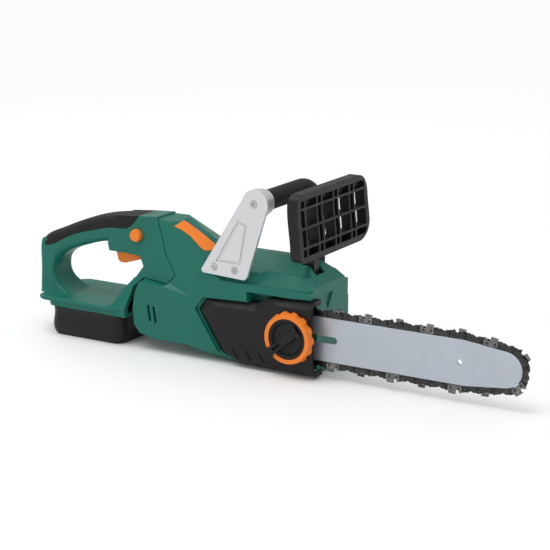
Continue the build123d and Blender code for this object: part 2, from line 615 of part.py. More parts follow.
def tube_foot():
    """The foot that fastens the tube's lower end to the left side of the housing."""
    plate = box(TUBE_X - 19, TUBE_X + 19, LEFT_Y + 0.05, LEFT_Y + 5, 15, 49)
    plate = softened(plate, plate.edges().filter_by(Axis.Y), 6)
    socket = ring(TUBE_R + 3, TUBE_R - 1.6, (TUBE_X, LEFT_Y + 0.05, 32), (TUBE_X, LEFT_Y + 14, 32))
    return (plate - rod(TUBE_R - 1.6, (TUBE_X, 40, 32), (TUBE_X, 70, 32))) + socket


BRACKET_Y = -47.0


def side_bracket():
    """The cast bracket that carries the front handle on the housing's right side."""
    boss = rod(17, (TUBE_X, BRACKET_Y, TUBE_Z), (TUBE_X, BRACKET_Y + 9, TUBE_Z))
    outline = [(-119, 108.5), (-61.5, 106), (-58, 110), (TUBE_X + 16.6, TUBE_Z - 2),
               (TUBE_X - 15.6, TUBE_Z + 6), (-121, 112)]
    plate = side_prism(outline, BRACKET_Y, BRACKET_Y + 4)
    corner_edges = plate.edges().filter_by(Axis.Y)
    plate = softened(plate, corner_edges.sort_by(Axis.Z)[:4], 3, 2, 1)
    collar = rod(15.5, (TUBE_X, BRACKET_Y + 4, TUBE_Z), (TUBE_X, -29.2, TUBE_Z))
    bracket = plate + boss + collar
    rim = [(-70, 176), (-57, 172), (-66, 124), (-101, 124)]
    bracket = bracket - side_prism(rim, BRACKET_Y - 1, BRACKET_Y + 1.6)
    bracket = bracket + (side_prism(inset_outline(rim, 3.2), BRACKET_Y + 0.2, BRACKET_Y + 2.0))
    foot = side_prism([(-116, 109.5), (-63, 107.5), (-70, 124), (-109, 124)], BRACKET_Y + 3.5, -37.6)
    bracket = (bracket + foot) - housing_form(-GAP)
    bracket = bracket - rod(TUBE_R - 1.6, (TUBE_X, -33, TUBE_Z), (TUBE_X, 10, TUBE_Z))
    for x, z in ((-103, 117), (-75, 116)):
        bracket = bracket - rod(2.6, (x, -60, z), (x, -30, z))
        bracket = bracket - rod(4.6, (x, -60, z), (x, BRACKET_Y + 1.6, z))
    bracket = bracket - rod(4.6, (TUBE_X - 2, -60, TUBE_Z), (TUBE_X - 2, BRACKET_Y + 1.6, TUBE_Z))
    return bracket - rod(2.6, (TUBE_X - 2, -60, TUBE_Z), (TUBE_X - 2, -33.05, TUBE_Z))


def pan_screw(x, y, z, length, radius=2.5, head=4.4):
    """A cross-head screw driven along Y from the right."""
    screw = rod(head, (x, y, z), (x, y + 1.6, z)) + rod(radius, (x, y + 1.5, z), (x, y + length, z))
    for dx, dz in ((2.4, 0.5), (0.5, 2.4)):
        screw = screw - box(x - dx, x + dx, y - 1, y + 0.9, z - dz, z + dz)
    return screw


GUARD_BACK, GUARD_FRONT = -2.0, 11.0
GUARD_Y0, GUARD_Y1 = -48.0, 119.0
GUARD_Z0, GUARD_Z1 = 133.0, 212.5
GUARD_RIM = 4.0
INNER_CORNER, OUTER_CORNER = 13.0, 25.0


def guard_profile(front, back):
    """The gentle S of the guard seen from the side, between a front and a back face."""
    def wave(z):
        return 2.2 * sin((z - GUARD_Z0) / (GUARD_Z1 - GUARD_Z0) * 1.5 * pi + 0.3 * pi)
    steps = 8
    levels = [GUARD_Z0 + (GUARD_Z1 - GUARD_Z0) * i / steps for i in range(steps + 1)]
    rising = [(front + wave(z), z) for z in levels]
    falling = [(back + wave(z), z) for z in reversed(levels)]
    return rising + falling


def rounded_block(inset):
    """The guard's outline seen from the front, with the outer end's corners the rounder, as a deep block."""
    block = box(-20, 40, GUARD_Y0 + inset, GUARD_Y1 - inset, GUARD_Z0 + inset, GUARD_Z1 - inset)
    corners = block.edges().filter_by(Axis.X).sort_by(Axis.Y)
    block = block.fillet(INNER_CORNER - inset, corners[:2])
    corners = block.edges().filter_by(Axis.X).sort_by(Axis.Y)
    return block.fillet(OUTER_CORNER - inset, corners[-2:])


def hand_guard():
    """The front hand guard: a ribbed shield with open windows on a stem that pivots in the housing."""
    shield = side_prism(guard_profile(GUARD_FRONT, GUARD_BACK), GUARD_Y0, GUARD_Y1)
    shield = shield & rounded_block(0.0)
    columns, rows = 8, 4
    rib = 3.0
    y0, y1, z0, z1 = GUARD_Y0 + 7, GUARD_Y1 - 7, GUARD_Z0 + 6, GUARD_Z1 - 6
    heights = (0.0, 0.17, 0.5, 0.83, 1.0)
    pockets = []
    for c in range(columns):
        wide = c % 2 == 1
        left = y0 + (y1 - y0) * (c // 2 + (0.28 if wide else 0.0)) / 4
        right = y0 + (y1 - y0) * (c // 2 + (1.0 if wide else 0.28)) / 4
        for r in range(rows):
            low = z0 + (z1 - z0) * heights[r] + rib / 2
            high = z0 + (z1 - z0) * heights[r + 1] - rib / 2
            through = wide and r in (1, 2)
            depth = GUARD_BACK - 10 if through else GUARD_BACK + 5
            pockets.append(box(depth, 40, left + rib / 2, right - rib / 2, low, high))
    field = rounded_block(GUARD_RIM)
    for pocket in pockets:
        shield = shield - (pocket & field)
    stem = side_prism([(-1, 106), (9, 106), (10.5, 128), (9, 140), (1, 140), (-0.5, 128)], -11, 1)
    tab = rod(6.5, (GUARD_PIVOT[0], -11, GUARD_PIVOT[1]), (GUARD_PIVOT[0], 1, GUARD_PIVOT[1]))
    guard = shield + stem + tab
    return guard - rod(2.55, (GUARD_PIVOT[0], -20, GUARD_PIVOT[1]), (GUARD_PIVOT[0], 10, GUARD_PIVOT[1]))


# ---- battery and controls ----------------------------------------------------------------------------
BATTERY = (-349.0, -238.5, 47.0, 36.0)      # rear, front, half width and height of the pack
BUTTON_X = BATTERY[0]


def battery_case():
    """The battery pack's case, hollow, with the raised foot that slides into the platform."""
    rear, front, half, height = BATTERY
    case = rounded_loft([(0, rear + 4, front - 4, half - 4, 12), (5, rear + 1, front - 1, half - 1, 14),
                         (12, rear, front, half, 15), (height, rear, front, half, 15)])
    foot = box(rear + 6, front - 8, -38, 38, height - 1, height + 5.6)
    hollow = box(rear + 6, front - 4, -half + 3.5, half - 3.5, 3, height - 3)
    hollow = softened(hollow, hollow.edges().filter_by(Axis.Z), 12)
    case = (case + foot) - hollow
    case = case - box(rear + 10, front - 32, -30, 30, height + 0.5, height + 9)
    case = case - box(-268, -248, -22, 22, height - 2, height + 9)
    case = case - box(rear - 2, rear + 7, -15.4, 15.4, 17.6, 30.4)
    return case


def battery_cells():
    """Five round cells lying side by side, with the pack's spacer."""
    cells = []
    for i in range(5):
        y = (i - 2) * 17.3
        cells.append(rod(8.5, (-332, y, 12.2), (-267, y, 12.2)))
    return cells


def battery_terminals():
    """Three contact blades that stand on the pack's foot."""
    return [box(-266, -250, y - 1, y + 1, BATTERY[3] - 1.9, BATTERY[3] + 4) for y in (-18, 0, 18)]


def battery_button():
    """The release button in the rear of the pack."""
    button = box(BUTTON_X - 1.5, BUTTON_X + 2.5, -15, 15, 18, 30)
    button = softened(button, button.edges().filter_by(Axis.X), 4)
    for z in (21.5, 24, 26.5):
        button = button - box(BUTTON_X - 3, BUTTON_X - 0.9, -10, 10, z - 0.5, z + 0.5)
    return button


def trigger():
    """The speed trigger with the stem that works the switch."""
    blade = side_prism([(-271.5, 108.5), (-268.5, 96), (-265, 93.2), (-259, 93), (-231.6, 101.5), (-231.6, 108.5)],
                       -8, 8)
    lower = [e for e in blade.edges() if e.center().Z < 102 and e.length > 5]
    blade = softened(blade, lower, 2.5, 1.5, 1.0)
    stem = box(-268, -246, -6, 6, 108, 119)
    return blade + stem


def trigger_spring():
    """The coil spring between the trigger's stem and the switch."""
    coil = Helix(2.0, 8.0, 3.2, center=(-257, 0, 119.9))
    section = Plane(origin=coil @ 0, z_dir=coil % 0) * Circle(0.45)
    return sweep(section.face(), path=coil)


def trigger_switch():
    """The switch block above the trigger."""
    block = box(-272, -244, -9, 9, 129, 146)
    block = softened(block, block.edges(), 1.5)
    return block + box(-250, -246, -3, 3, 146, 148.5)


def lock_off_button():
    """The lock-off button: a bar across the handle with an oval head on each side."""
    bar = rod(6.0, (LOCK_X, -20.5, LOCK_Z), (LOCK_X, 24.5, LOCK_Z))
    head = Solid.make_cone(8.0, 7.0, 2.6, Plane(origin=(LOCK_X, -21.4, LOCK_Z), z_dir=(0, -1, 0)))
    return bar + rod(8.0, (LOCK_X, -21.4, LOCK_Z), (LOCK_X, -13, LOCK_Z)) + head


# ---- drive -------------------------------------------------------------------------------------------
GEAR_MODULE, PINION_TEETH, GEAR_TEETH = 1.25, 10, 56


def toothed(teeth, module, x, z, y0, y1, phase):
    """A spur gear with straight-sided teeth, on an axis along Y."""
    pitch = module * teeth / 2
    tip, root = pitch + 0.85 * module, pitch - 1.15 * module
    step = 2 * pi / teeth
    points = []
    for i in range(teeth):
        middle = phase + step * i
        for offset, radius in ((-0.30, root), (-0.12, tip), (0.12, tip), (0.30, root)):
            angle = middle + offset * step
            points.append((x + radius * cos(angle), z + radius * sin(angle)))
    return side_prism(points, y0, y1)


def drive_pieces():
    """The drive train from the motor's pinion to the chain sprocket."""
    x, z = SPROCKET_X, BAR_Z
    toward = atan2(MOTOR_Z - z, MOTOR_X - x)
    shaft = rod(5.0, (x, -40.5, z), (x, -4, z))
    shaft = shaft + rod(7.0, (x, -23.8, z), (x, -21.6, z))
    gear = toothed(GEAR_TEETH, GEAR_MODULE, x, z, -20, -12, toward) - rod(5.0, (x, -30, z), (x, 0, z))
    for i in range(6):
        angle = pi * i / 3
        gear = gear - rod(6.5, (x + 21 * cos(angle), -30, z + 21 * sin(angle)),
                          (x + 21 * cos(angle), 0, z + 21 * sin(angle)))
    pinion_phase = toward + pi + pi / PINION_TEETH
    pinion = toothed(PINION_TEETH, GEAR_MODULE, MOTOR_X, MOTOR_Z, -21, -11, pinion_phase)
    pinion = pinion - rod(2.5, (MOTOR_X, -40, MOTOR_Z), (MOTOR_X, 0, MOTOR_Z))
    points = []
    for i in range(DRIVE_TEETH):
        middle = 2 * pi * i / DRIVE_TEETH
        for offset, radius in ((-0.33, 8.4), (-0.16, 11.5), (0.16, 11.5), (0.33, 8.4)):
            points.append((x + radius * cos(middle + offset), z + radius * sin(middle + offset)))
    sprocket = side_prism(points, BAR_Y - 2.5, BAR_Y + 2.5) + rod(8, (x, -36, z), (x, -28.5, z))
    sprocket = sprocket - rod(5.0, (x, -45, z), (x, 0, z))
    clip = ring(7.5, 5.0, (x, -38.6, z), (x, -37.2, z)) - box(x - 12, x - 3, -45, -30, z - 2.6, z + 2.6)
    bearings = [ring(11.0, 5.0 + FIT, (x, -27.2, z), (x, -24.1, z)),
                ring(11.0, 5.0 + FIT, (x, -9.8, z), (x, -5.0, z))]
    return shaft, gear, pinion, sprocket, clip, bearings


def gear_plate():
    """The plate inside the housing that carries the inner bearing and the motor."""
    x, z = SPROCKET_X, BAR_Z
    plate = side_prism([(-116, 92), (-62, 96), (-26, 72), (-24, 24), (-84, 12), (-110, 34)], -9.8, -5.6)
    plate = plate - rod(11.0, (x, -20, z), (x, 0, z))
    return plate - rod(9.5, (MOTOR_X, -20, MOTOR_Z), (MOTOR_X, 0, MOTOR_Z))


def motor_pieces():
    """The motor: can with magnets, wound rotor on its shaft, two bearings, and the cooling fan."""
    x, z = MOTOR_X, MOTOR_Z
    can = ring(21.5, 19.5, (x, -5.4, z), (x, 30, z))
    can = can + ring(21.5, 8.0, (x, -5.4, z), (x, -3.6, z)) + ring(21.5, 8.0, (x, 28.2, z), (x, 30, z))
    magnets = [ring(19.4, 15.5, (x, 0, z), (x, 25, z)) & box(x + a, x + b, -5, 40, z - 40, z + 40)
               for a, b in ((-30, -5), (5, 30))]
    shaft = rod(2.5, (x, -22, z), (x, 42, z))
    rotor = rod(14.9, (x, 3, z), (x, 20, z)) + rod(8, (x, 20, z), (x, 26, z))
    for i in range(12):
        angle = 2 * pi * i / 12
        dx, dz = 14.6 * cos(angle), 14.6 * sin(angle)
        rotor = rotor - rod(1.6, (x + dx, 2, z + dz), (x + dx, 20, z + dz))
    rotor = rotor - rod(2.5, (x, -5, z), (x, 40, z))
    bearings = [ring(8.0, 2.5 + FIT, (x, y0, z), (x, y1, z)) for y0, y1 in ((-5.4, -1.6), (27, 30))]
    fan = rod(5, (x, 32, z), (x, 41.6, z)) + rod(19, (x, 32, z), (x, 33.6, z))
    for i in range(9):
        blade = box(4, 18.6, 33.4, 41, -0.8, 0.8).rotate(Axis.Y, 40 * i).moved(Location((x, 0, z)))
        fan = fan + blade
    fan = fan - rod(2.5, (x, 20, z), (x, 60, z))
    return can, magnets, shaft, rotor, bearings, fan


# ---- oil, board, fasteners ---------------------------------------------------------------------------
def oil_pieces():
    """The chain oil tank, its cap and seal, the pump and the feed pipe."""
    tank = box(-40, 19.5, 2, 44.5, 24, 84)
    tank = softened(tank, tank.edges().filter_by(Axis.Y), 6, 4)
    tank = tank - box(-37.6, 17.1, 4.4, 42.1, 26.4, 81.6)
    neck = (CAP_X, CAP_Z)
    tank = tank + rod(9.9, (neck[0], 43, neck[1]), (neck[0], 50.6, neck[1]))
    tank = tank - rod(7.3, (neck[0], 40, neck[1]), (neck[0], 60, neck[1]))
    tank = tank - rod(2.0, (0, 0, 31), (0, 5, 31))
    cap = rod(14, (neck[0], 52.4, neck[1]), (neck[0], 60.4, neck[1])) + rod(7.22, (neck[0], 45, neck[1]),
                                                                            (neck[0], 53, neck[1]))
    for i in range(12):
        angle = 2 * pi * i / 12
        cx, cz = neck[0] + 15.6 * cos(angle), neck[1] + 15.6 * sin(angle)
        cap = cap - rod(2.6, (cx, 50, cz), (cx, 62, cz))
    wing = box(neck[0] - 11, neck[0] + 11, 60.3, 63.5, neck[1] - 2.2, neck[1] + 2.2)
    seal = ring(9.6, 7.4, (neck[0], 50.7, neck[1]), (neck[0], 52.1, neck[1]))
    pump = box(-8, 8, -24, -8.5, 22, 40)
    pump = softened(pump, pump.edges().filter_by(Axis.Y), 4) + rod(4, (0, -8.6, 31), (0, -5, 31))
    hose = rod(2.0, (0, -5, 31), (0, 4.4, 31))
    return tank, cap + wing, seal, pump, hose


def control_board():
    """The control board with its capacitors and power transistors."""
    board = box(-180, -128, -22, 26, 27, 28.8)
    for x, y in ((-170, -15), (-158, -15), (-170, 12)):
        board = board + rod(5, (x, y, 28.7), (x, y, 43))
    for i in range(4):
        board = board + box(-148 + 5 * i, -145 + 5 * i, -18, -4, 28.7, 40)
    return board


def chain_catcher():
    """The catcher that stops a thrown chain, below the bar at the cover's mouth."""
    catcher = side_prism([(10, 6), (23.5, 6), (23.5, 8), (19, 8.8), (10, 8.4)], -38, PAD_Y)
    return catcher


def housing_screws():
    """The screws that join the two housing shells, driven from the left into the right shell's posts."""
    screws = []
    for x, z, y in POSTS:
        screws.append(mirror_y(pan_screw(x, 4 - y, z, y + 8, 2.0, 3.8)))
    return screws


def bracket_screws():
    """The three screws of the side bracket."""
    low = [pan_screw(x, BRACKET_Y - 0.3, z, 7.5) for x, z in ((-103, 117), (-75, 116))]
    return low + [pan_screw(TUBE_X - 2, BRACKET_Y - 0.3, TUBE_Z, 12)]


def bar_stud():
    """The threaded stud that the bar is clamped on, with its square root in the housing wall."""
    stud = rod(3.8, (0, -50.2, BAR_Z), (0, PAD_Y - 1.3, BAR_Z))
    return stud + box(-7, 7, PAD_Y - 1.3, PAD_Y - 0.02, BAR_Z - 7, BAR_Z + 7)


def bar_pad():
    """The steel plate that the bar bears on."""
    pad = box(-26, 18, PAD_Y - 1.3, PAD_Y - 0.02, BAR_Z - 17, BAR_Z + 17)
    return pad - box(-7, 7, -40, -20, BAR_Z - 7, BAR_Z + 7)


def brake_switch():
    """The small switch that cuts the motor when the hand guard is pushed forward."""
    return box(-24, -8, -10, 0, 104, 114) + box(-8, -6.2, -6, -4, 108, 110)


def guard_pin():
    """The pivot pin of the hand guard."""
    return rod(2.5, (GUARD_PIVOT[0], -16, GUARD_PIVOT[1]), (GUARD_PIVOT[0], 7, GUARD_PIVOT[1]))


# ---- all nodes ---------------------------------------------------------------------------------------
def all_nodes():
    """Every node of the saw: its name and its solid or list of solids."""
    housing_right, housing_left = housing_halves()
    handle_right, handle_left, handle_grip = handle_pieces()
    panel = trim_panel()
    tank, cap, seal, pump, hose = oil_pieces()
    shaft, gear, pinion, sprocket, clip, shaft_bearings = drive_pieces()
    can, magnets, motor_shaft, rotor, motor_bearings, fan = motor_pieces()
    bar, star, nose_hub = bar_pieces()
    drives, straps, cutters, rivets = chain_pieces()
    screws = housing_screws()
    housing_right = housing_right - [panel] - screws - [chain_catcher(), shaft_bearings[0]]
    housing_left = housing_left - screws - [tank]
    return {
        "housing_right": housing_right,
        "housing_left": housing_left,
        "handle_right": handle_right,
        "handle_left": handle_left,
        "handle_grip": handle_grip,
        "trim_panel": panel,
        "battery_case": battery_case(),
        "battery_cells": battery_cells(),
        "battery_terminals": battery_terminals(),
        "battery_button": battery_button(),
        "trigger": trigger(),
        "trigger_spring": trigger_spring(),
        "trigger_switch": trigger_switch(),
        "lock_off_button": lock_off_button(),
        "side_bracket": side_bracket(),
        "bracket_screws": bracket_screws(),
        "front_tube": front_tube(),
        "front_grip": front_grip(),
        "tube_foot": tube_foot(),
        "hand_guard": hand_guard(),
        "guard_pin": guard_pin(),
        "brake_switch": brake_switch(),
        "side_cover": cover(),
        "tension_ring": tension_ring(),
        "clamp_knob": clamp_knob(),
        "clamp_lever": clamp_lever(),
        "lever_pin": lever_pin(),
        "bar_stud": bar_stud(),
        "bar_pad": bar_pad(),
        "guide_bar": bar,
        "nose_sprocket": star,
        "nose_rivet": nose_hub,
        "chain_drive_links": drives,
        "chain_tie_straps": straps,
        "chain_cutters": cutters,
        "chain_rivets": rivets,
        "drive_sprocket": sprocket,
        "sprocket_clip": clip,
        "output_shaft": shaft,
        "output_bearings": shaft_bearings,
        "drive_gear": gear,
        "gear_plate": gear_plate(),
        "motor_pinion": pinion,
        "motor_can": can,
        "motor_magnets": magnets,
        "motor_shaft": motor_shaft,
        "motor_rotor": rotor,
        "motor_bearings": motor_bearings,
        "cooling_fan": fan,
        "oil_tank": tank,
        "oil_cap": cap,
        "oil_cap_seal": seal,
        "oil_pump": pump,
        "oil_pipe": hose,
        "control_board": control_board(),
        "chain_catcher": chain_catcher(),
        "housing_screws": screws,
    }


def main():
    """Write one STEP file per node."""
    os.makedirs("parts", exist_ok=True)
    for name, shape in all_nodes().items():
        solids = shape if isinstance(shape, list) else shape.solids()
        solids = [piece for item in solids for piece in item.solids()]
        node = solids[0] if len(solids) == 1 else Compound(solids)
        export_step(node, f"parts/{name}.step")


main()
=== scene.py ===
import bpy
import bmesh
import math
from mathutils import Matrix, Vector


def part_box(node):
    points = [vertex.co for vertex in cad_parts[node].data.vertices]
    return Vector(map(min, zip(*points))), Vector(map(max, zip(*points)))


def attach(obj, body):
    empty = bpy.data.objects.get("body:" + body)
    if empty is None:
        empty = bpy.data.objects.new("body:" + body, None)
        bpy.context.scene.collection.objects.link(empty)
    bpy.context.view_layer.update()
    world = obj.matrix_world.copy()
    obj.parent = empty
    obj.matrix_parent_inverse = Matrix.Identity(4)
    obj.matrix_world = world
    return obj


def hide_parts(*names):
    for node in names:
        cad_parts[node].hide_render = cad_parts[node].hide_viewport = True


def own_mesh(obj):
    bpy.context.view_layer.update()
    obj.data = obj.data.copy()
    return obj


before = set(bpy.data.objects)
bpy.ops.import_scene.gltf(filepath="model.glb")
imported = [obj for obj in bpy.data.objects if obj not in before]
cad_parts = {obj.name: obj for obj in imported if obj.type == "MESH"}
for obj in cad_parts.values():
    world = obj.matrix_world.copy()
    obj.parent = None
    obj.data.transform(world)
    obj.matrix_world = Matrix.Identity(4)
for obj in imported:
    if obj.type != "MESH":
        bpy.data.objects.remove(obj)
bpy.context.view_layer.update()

MM = 0.001                       # the CAD's millimetres, in metres

# ---- camera, light and floor -------------------------------------------------------------------------
AZIMUTH, ELEVATION = math.radians(31.0), math.radians(14.5)
TARGET = Vector((-30.0, -31.0, 113.3)) * MM
DISTANCE = 1.968
LENS = 112.3
SENSOR = 36.0
SAW_CENTRE = (-0.05, 0.0, 0.08)
FLOOR_HALF = 20.0                 # keeps the floor's edge out of the picture from the photo's side
FLOOR_DROP = 0.0002               # keeps the floor off the saw's flat underside


def add_camera():
    """The camera at the three-quarter view from the right and slightly above."""
    data = bpy.data.cameras.new("camera")
    data.lens = LENS
    data.sensor_width = SENSOR
    data.clip_end = 20.0
    camera = bpy.data.objects.new("camera", data)
    back = Vector((math.sin(AZIMUTH) * math.cos(ELEVATION), -math.cos(AZIMUTH) * math.cos(ELEVATION),
                   math.sin(ELEVATION)))
    camera.location = TARGET + back * DISTANCE
    camera.rotation_mode = "QUATERNION"
    camera.rotation_quaternion = back.to_track_quat("Z", "Y")
    bpy.context.collection.objects.link(camera)
    bpy.context.scene.camera = camera


def add_area_light(name, place, aim, size, power):
    """A soft box at a place, aimed at a point."""
    data = bpy.data.lights.new(name, "AREA")
    data.shape = "RECTANGLE"
    data.size, data.size_y = size
    data.energy = power
    light = bpy.data.objects.new(name, data)
    light.location = place
    light.rotation_mode = "QUATERNION"
    light.rotation_quaternion = (Vector(place) - Vector(aim)).to_track_quat("Z", "Y")
    bpy.context.collection.objects.link(light)


def add_studio():
    """Even white surroundings, a broad soft light from above and two weak boxes for the highlights."""
    world = bpy.data.worlds.new("studio")
    world.use_nodes = True
    background = world.node_tree.nodes["Background"]
    background.inputs["Color"].default_value = (1.0, 1.0, 1.0, 1.0)
    background.inputs["Strength"].default_value = 0.6
    bpy.context.scene.world = world
    bpy.context.scene.view_settings.view_transform = "Standard"
    key = bpy.data.lights.new("key_light", "SUN")
    key.energy = 1.65
    key.angle = math.radians(50.0)
    light = bpy.data.objects.new("key_light", key)
    light.rotation_euler = (math.radians(12.0), math.radians(-16.0), 0.0)
    bpy.context.collection.objects.link(light)
    add_area_light("front_light", (1.1, -1.3, 0.8), SAW_CENTRE, (0.35, 0.9), 2.5)
    add_area_light("rear_light", (-1.4, 0.6, 0.9), SAW_CENTRE, (0.6, 0.9), 2.0)


def add_floor():
    """A large pale floor."""
    corners = [(x * FLOOR_HALF, y * FLOOR_HALF, 0) for x, y in ((-1, -1), (1, -1), (1, 1), (-1, 1))]
    mesh = bpy.data.meshes.new("floor")
    mesh.from_pydata(corners, [], [(0, 1, 2, 3)])
    floor = bpy.data.objects.new("floor", mesh)
    bpy.context.collection.objects.link(floor)
    floor.location.z = -FLOOR_DROP
    material = bpy.data.materials.new("floor_white")
    material.use_nodes = True
    shader = material.node_tree.nodes["Principled BSDF"]
    shader.inputs["Base Color"].default_value = (0.93, 0.93, 0.935, 1.0)
    shader.inputs["Roughness"].default_value = 0.6
    mesh.materials.append(material)


# ---- materials ---------------------------------------------------------------------------------------
class Maker:
    """A material with a Principled shader, and short calls that add the usual node groups to it."""

    def __init__(self, name, rough, metallic=0.0, specular=0.5, coat=0.0):
        self.material = bpy.data.materials.new(name)
        self.material.use_nodes = True
        self.tree = self.material.node_tree
        self.shader = self.tree.nodes["Principled BSDF"]
        self.shader.inputs["Roughness"].default_value = rough
        self.shader.inputs["Metallic"].default_value = metallic
        self.shader.inputs["Specular IOR Level"].default_value = specular
        self.shader.inputs["Coat Weight"].default_value = coat
        self.place = self.node("ShaderNodeTexCoord").outputs["Object"]

    def node(self, kind, **settings):
        """A new shader node of a kind, with its settings."""
        made = self.tree.nodes.new(kind)
        for key, value in settings.items():
            setattr(made, key, value)
        return made

    def join(self, source, socket):
        """Links an output to an input."""
        self.tree.links.new(source, socket)

    def noise(self, scale, detail=3.0, stretch=None):
        """Noise in object space, with features of about 1/scale metres, stretched if asked."""
        noise = self.node("ShaderNodeTexNoise")
        noise.inputs["Scale"].default_value = scale
        noise.inputs["Detail"].default_value = detail
        source = self.place
        if stretch:
            mapping = self.node("ShaderNodeMapping")
            mapping.inputs["Scale"].default_value = stretch
            self.join(source, mapping.inputs["Vector"])
            source = mapping.outputs["Vector"]
        self.join(source, noise.inputs["Vector"])
        return noise.outputs["Fac"]

    def ramp(self, value, stops):
        """A colour ramp with (position, colour) stops."""
        ramp = self.node("ShaderNodeValToRGB")
        elements = ramp.color_ramp.elements
        elements[0].position, elements[0].color = stops[0][0], (*stops[0][1], 1.0)
        elements[1].position, elements[1].color = stops[-1][0], (*stops[-1][1], 1.0)
        for position, colour in stops[1:-1]:
            elements.new(position).color = (*colour, 1.0)
        self.join(value, ramp.inputs["Fac"])
        return ramp.outputs["Color"]

    def range(self, value, low, high):
        """The middle of a noise value's range, 0.3 to 0.7, mapped to low..high."""
        mapped = self.node("ShaderNodeMapRange")
        mapped.inputs["From Min"].default_value = 0.3
        mapped.inputs["From Max"].default_value = 0.7
        mapped.inputs["To Min"].default_value = low
        mapped.inputs["To Max"].default_value = high
        self.join(value, mapped.inputs["Value"])
        return mapped.outputs["Result"]

    def bump(self, value, depth_mm, strength=1.0):
        """Bump from a height value, chained after any bump already there."""
        bump = self.node("ShaderNodeBump")
        bump.inputs["Strength"].default_value = strength
        bump.inputs["Distance"].default_value = depth_mm * MM
        self.join(value, bump.inputs["Height"])
        linked = self.shader.inputs["Normal"].links
        if linked:
            self.join(linked[0].from_socket, bump.inputs["Normal"])
        self.join(bump.outputs["Normal"], self.shader.inputs["Normal"])

    def soften_edges(self, radius_mm):
        """Shades sharp edges as if they were rounded by this radius, under any bump added later."""
        bevel = self.node("ShaderNodeBevel", samples=4)
        bevel.inputs["Radius"].default_value = radius_mm * MM
        self.join(bevel.outputs["Normal"], self.shader.inputs["Normal"])

    def colour(self, socket):
        """Sets what drives the base colour."""
        self.join(socket, self.shader.inputs["Base Color"])

    def roughness(self, socket):
        """Sets what drives the roughness."""
        self.join(socket, self.shader.inputs["Roughness"])


def shade(colour, factor):
    """A colour made lighter or darker."""
    return tuple(min(1.0, channel * factor) for channel in colour)


def moulded_plastic(name, colour, rough, spread):
    """Moulded plastic: a fine spark-eroded grain, and a slight drift of tone and gloss."""
    made = Maker(name, rough, specular=0.25)
    made.soften_edges(0.8)
    drift = made.noise(28.0, 4.0)
    made.colour(made.ramp(drift, [(0.3, shade(colour, 1 - spread)), (0.7, shade(colour, 1 + spread))]))
    made.roughness(made.range(made.noise(60.0, 5.0), rough - 0.05, rough + 0.06))
    made.bump(made.noise(1500.0, 2.0), 0.03, 0.55)
    return made.material


def rubber(name, colour, rough):
    """Soft-touch rubber: matt, with a pebbled grain and a faint sheen."""
    made = Maker(name, rough, specular=0.25)
    made.shader.inputs["Sheen Weight"].default_value = 0.04
    made.shader.inputs["Sheen Roughness"].default_value = 0.6
    made.colour(made.ramp(made.noise(45.0, 4.0), [(0.3, shade(colour, 0.85)), (0.7, shade(colour, 1.2))]))
    made.bump(made.noise(700.0, 3.0), 0.09, 0.6)
    return made.material


def cast_metal(name, colour, rough):
    """Satin-lacquered casting: metallic flake under lacquer, and a faint orange-peel surface."""
    made = Maker(name, rough, metallic=0.55, coat=0.25)
    made.soften_edges(0.7)
    made.shader.inputs["Coat Roughness"].default_value = 0.3
    flake = made.noise(2600.0, 1.0)
    made.colour(made.ramp(flake, [(0.35, shade(colour, 0.93)), (0.65, shade(colour, 1.05))]))
    made.roughness(made.range(made.noise(50.0, 4.0), rough - 0.05, rough + 0.08))
    made.bump(made.noise(420.0, 2.0), 0.025, 0.5)
    return made.material


def brushed_metal(name, colour, rough, stretch, metallic=1.0, contrast=0.08):
    """Ground metal: scratches drawn out along one direction, in colour, gloss and bump."""
    made = Maker(name, rough, metallic=metallic)
    made.shader.inputs["Anisotropic"].default_value = 0.35
    scratches = made.noise(900.0, 4.0, stretch)
    tones = [(0.3, shade(colour, 1 - contrast)), (0.7, shade(colour, 1 + contrast))]
    made.colour(made.ramp(scratches, tones))
    made.roughness(made.range(made.noise(40.0, 5.0), rough - 0.07, rough + 0.1))
    made.bump(scratches, 0.006, 0.6)
    return made.material


def oiled_steel(name, colour, rough, film=0.35):
    """Blued chain steel with an uneven film of oil and small rubbed spots."""
    made = Maker(name, rough, metallic=0.95, coat=film)
    made.shader.inputs["Coat Roughness"].default_value = 0.22
    mottle = made.noise(220.0, 5.0)
    made.colour(made.ramp(mottle, [(0.3, shade(colour, 0.6)), (0.55, colour), (0.75, shade(colour, 1.7))]))
    made.roughness(made.range(made.noise(330.0, 4.0), rough - 0.1, rough + 0.15))
    made.bump(made.noise(1100.0, 3.0), 0.012, 0.6)
    return made.material


def plated_steel(name, colour, rough):
    """Zinc-plated or turned steel: bright, slightly cloudy."""
    made = Maker(name, rough, metallic=1.0)
    made.colour(made.ramp(made.noise(160.0, 4.0), [(0.3, shade(colour, 0.85)), (0.7, shade(colour, 1.12))]))
    made.roughness(made.range(made.noise(260.0, 3.0), rough - 0.08, rough + 0.1))
    made.bump(made.noise(900.0, 2.0), 0.008, 0.5)
    return made.material


def wound_copper(name, colour):
    """Enamelled copper wire laid in fine ridges."""
    made = Maker(name, 0.3, metallic=0.9, coat=0.5)
    wave = made.node("ShaderNodeTexWave", wave_type="BANDS", bands_direction="DIAGONAL")
    wave.inputs["Scale"].default_value = 380.0
    made.join(made.place, wave.inputs["Vector"])
    made.colour(made.ramp(wave.outputs["Fac"], [(0.2, shade(colour, 0.55)), (0.7, colour)]))
    made.bump(wave.outputs["Fac"], 0.12, 0.8)
    return made.material


